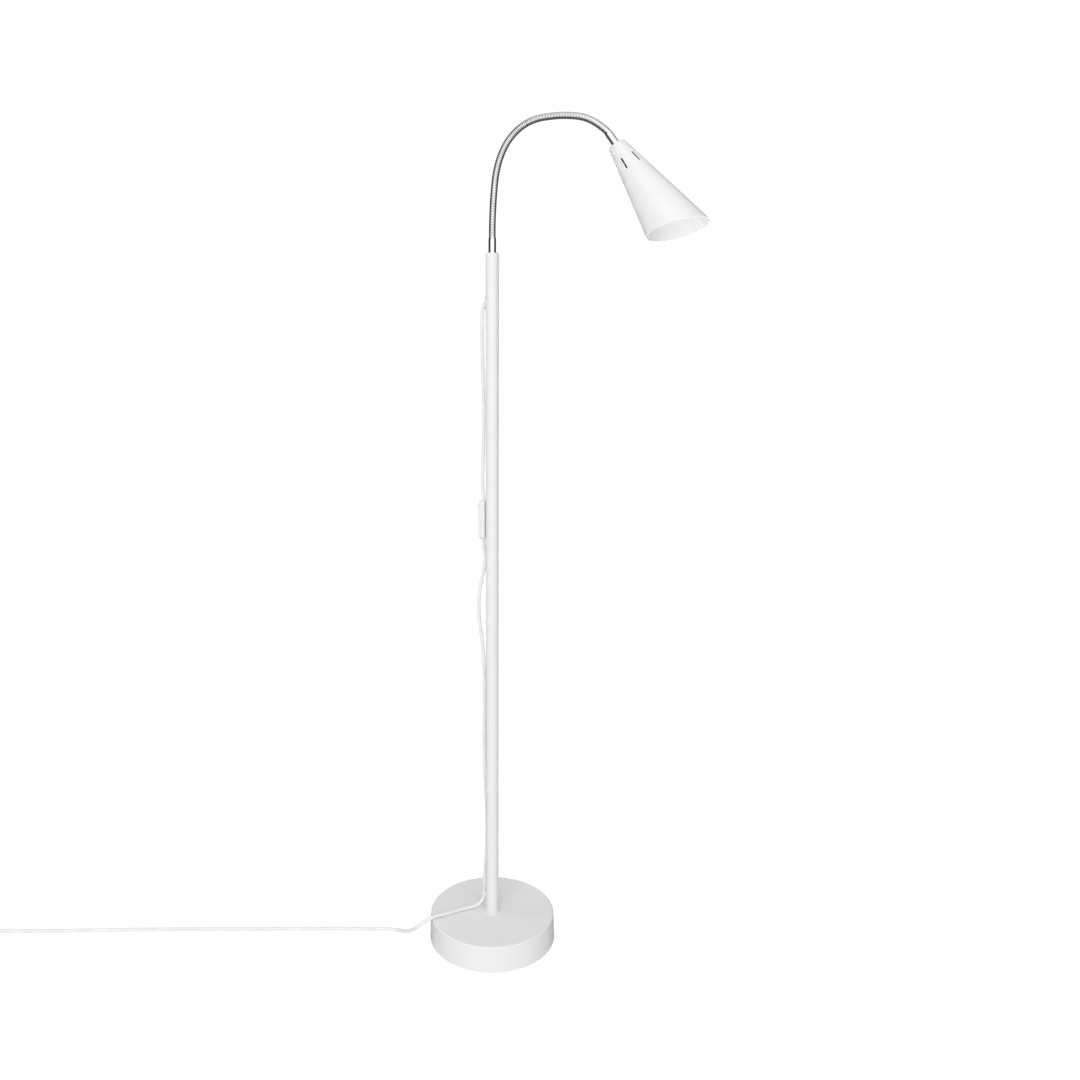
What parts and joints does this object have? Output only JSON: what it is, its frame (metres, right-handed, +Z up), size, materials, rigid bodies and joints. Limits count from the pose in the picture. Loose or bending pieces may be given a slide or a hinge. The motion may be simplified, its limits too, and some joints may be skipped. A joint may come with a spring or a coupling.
{
  "type": "gooseneck reading floor lamp",
  "caption": "Floor lamp with a round weighted base, slim jointed pole, bendable ribbed steel neck, narrow vented cone shade, rocker switch on a cord behind the pole and a two-pin plug.",
  "frame": {"origin": "centre of the base on the floor", "axes": "+Z up along the pole, +X towards the side that the neck leans to, cord and switch on -X"},
  "size_m": [1.1359, 0.4865, 1.251],
  "materials": {
    "white_paint": "satin white powder coat",
    "bright_steel": "bright chrome",
    "zinc_steel": "zinc plated",
    "cast_weight": "rough casting",
    "white_plastic": "moulded white",
    "white_cord": "matt white sheath",
    "brass": "plain",
    "nickel_pins": "nickel plated",
    "rubber_pad": "matt foam rubber",
    "opal_glass": "opal"
  },
  "bodies": {
    "stand": {"base_cover": "white_paint", "base_weight": "cast_weight", "base_plate": "zinc_steel", "base_pad": "rubber_pad", "base_stud": "zinc_steel", "base_nut": "zinc_steel", "base_washer": "zinc_steel", "pole_collar": "white_paint", "pole_foot_insert": "zinc_steel", "pole_lower": "white_paint", "pole_middle": "white_paint", "pole_upper": "white_paint", "joint_plug_lower": "zinc_steel", "joint_socket_lower": "zinc_steel", "joint_plug_upper": "zinc_steel", "joint_socket_upper": "zinc_steel", "pole_cap": "white_paint", "cord_grommet": "white_plastic", "cord_clip": "white_plastic", "pole_cable": "white_cord", "neck_ferrule_lower": "bright_steel", "neck_cable": "white_cord", "switch_back_shell": "white_plastic", "switch_front_shell": "white_plastic", "switch_screws": "zinc_steel", "rocker_pin": "zinc_steel", "switch_contacts": "brass", "cord_upper": "white_cord", "cord_lower": "white_cord", "plug_body": "white_plastic", "plug_pins": "nickel_pins"},
    "neck_link_01": {"neck_hose_01": "bright_steel"},
    "neck_link_02": {"neck_hose_02": "bright_steel"},
    "neck_link_03": {"neck_hose_03": "bright_steel"},
    "neck_link_04": {"neck_hose_04": "bright_steel"},
    "neck_link_05": {"neck_hose_05": "bright_steel"},
    "neck_link_06": {"neck_hose_06": "bright_steel"},
    "neck_link_07": {"neck_hose_07": "bright_steel"},
    "neck_link_08": {"neck_hose_08": "bright_steel"},
    "neck_link_09": {"neck_hose_09": "bright_steel"},
    "neck_link_10": {"neck_hose_10": "bright_steel"},
    "neck_link_11": {"neck_hose_11": "bright_steel"},
    "neck_link_12": {"neck_hose_12": "bright_steel"},
    "head": {"neck_ferrule_upper": "bright_steel", "shade": "white_paint", "shade_washer": "zinc_steel", "shade_nut": "zinc_steel", "lampholder_cap": "white_plastic", "lampholder_body": "white_plastic", "lampholder_contacts": "brass", "bulb_cap": "zinc_steel", "bulb_glass": "opal_glass", "head_cable": "white_cord"},
    "rocker": {"switch_rocker": "white_plastic"}
  },
  "joints": [
    {"name": "neck_sway", "type": "hinge", "parent": "stand", "child": "neck_link_01", "pos_m": [0, 0, 1.08225], "axis": [1, 0, 0], "range_deg": [-15, 15]},
    {"name": "neck_bend", "type": "hinge", "parent": "neck_link_01", "child": "neck_link_02", "pos_m": [0, 0, 1.10725], "axis": [0, 1, 0], "range_deg": [-14, 6], "deforming": ["neck_cable"]},
    {"name": "neck_sway_mid", "type": "hinge", "parent": "neck_link_02", "child": "neck_link_03", "pos_m": [0.00174, 0, 1.13219], "axis": [0.9976, 0, -0.0698], "range_deg": [-15, 15]},
    {"name": "neck_bend_02", "type": "hinge", "parent": "neck_link_03", "child": "neck_link_04", "pos_m": [0.00349, 0, 1.15713], "axis": [0, 1, 0], "range_deg": [-14, 6]},
    {"name": "neck_bend_03", "type": "hinge", "parent": "neck_link_04", "child": "neck_link_05", "pos_m": [0.00783, 0, 1.18175], "axis": [0, 1, 0], "range_deg": [-14, 6]},
    {"name": "neck_bend_04", "type": "hinge", "parent": "neck_link_05", "child": "neck_link_06", "pos_m": [0.01719, 0, 1.20493], "axis": [0, 1, 0], "range_deg": [-14, 6]},
    {"name": "neck_bend_05", "type": "hinge", "parent": "neck_link_06", "child": "neck_link_07", "pos_m": [0.03189, 0, 1.22515], "axis": [0, 1, 0], "range_deg": [-14, 6]},
    {"name": "neck_curl", "type": "hinge", "parent": "neck_link_07", "child": "neck_link_08", "pos_m": [0.05262, 0, 1.23913], "axis": [0, 1, 0], "range_deg": [-14, 6]},
    {"name": "neck_curl_02", "type": "hinge", "parent": "neck_link_08", "child": "neck_link_09", "pos_m": [0.07665, 0, 1.24602], "axis": [0, 1, 0], "range_deg": [-14, 6]},
    {"name": "neck_sway_upper", "type": "hinge", "parent": "neck_link_09", "child": "neck_link_10", "pos_m": [0.10165, 0, 1.24602], "axis": [0, 0, -1], "range_deg": [-15, 15]},
    {"name": "neck_curl_03", "type": "hinge", "parent": "neck_link_10", "child": "neck_link_11", "pos_m": [0.12665, 0, 1.24602], "axis": [0, 1, 0], "range_deg": [-14, 6]},
    {"name": "neck_curl_04", "type": "hinge", "parent": "neck_link_11", "child": "neck_link_12", "pos_m": [0.15042, 0, 1.2383], "axis": [0, 1, 0], "range_deg": [-14, 6]},
    {"name": "neck_curl_05", "type": "hinge", "parent": "neck_link_12", "child": "head", "pos_m": [0.17039, 0, 1.22325], "axis": [0, 1, 0], "range_deg": [-14, 6]},
    {"name": "rocker", "type": "hinge", "parent": "stand", "child": "rocker", "pos_m": [-0.0157, 0, 0.676], "axis": [0, 1, 0], "range_deg": [0, 10.6]}
  ],
  "couplings": [
    {"joint": "neck_sway_mid", "follows": "neck_sway", "ratio": 1},
    {"joint": "neck_bend_02", "follows": "neck_bend", "ratio": 1},
    {"joint": "neck_bend_03", "follows": "neck_bend", "ratio": 1},
    {"joint": "neck_bend_04", "follows": "neck_bend", "ratio": 1},
    {"joint": "neck_bend_05", "follows": "neck_bend", "ratio": 1},
    {"joint": "neck_curl_02", "follows": "neck_curl", "ratio": 1},
    {"joint": "neck_sway_upper", "follows": "neck_sway", "ratio": 1},
    {"joint": "neck_curl_03", "follows": "neck_curl", "ratio": 1},
    {"joint": "neck_curl_04", "follows": "neck_curl", "ratio": 1},
    {"joint": "neck_curl_05", "follows": "neck_curl", "ratio": 1}
  ]
}
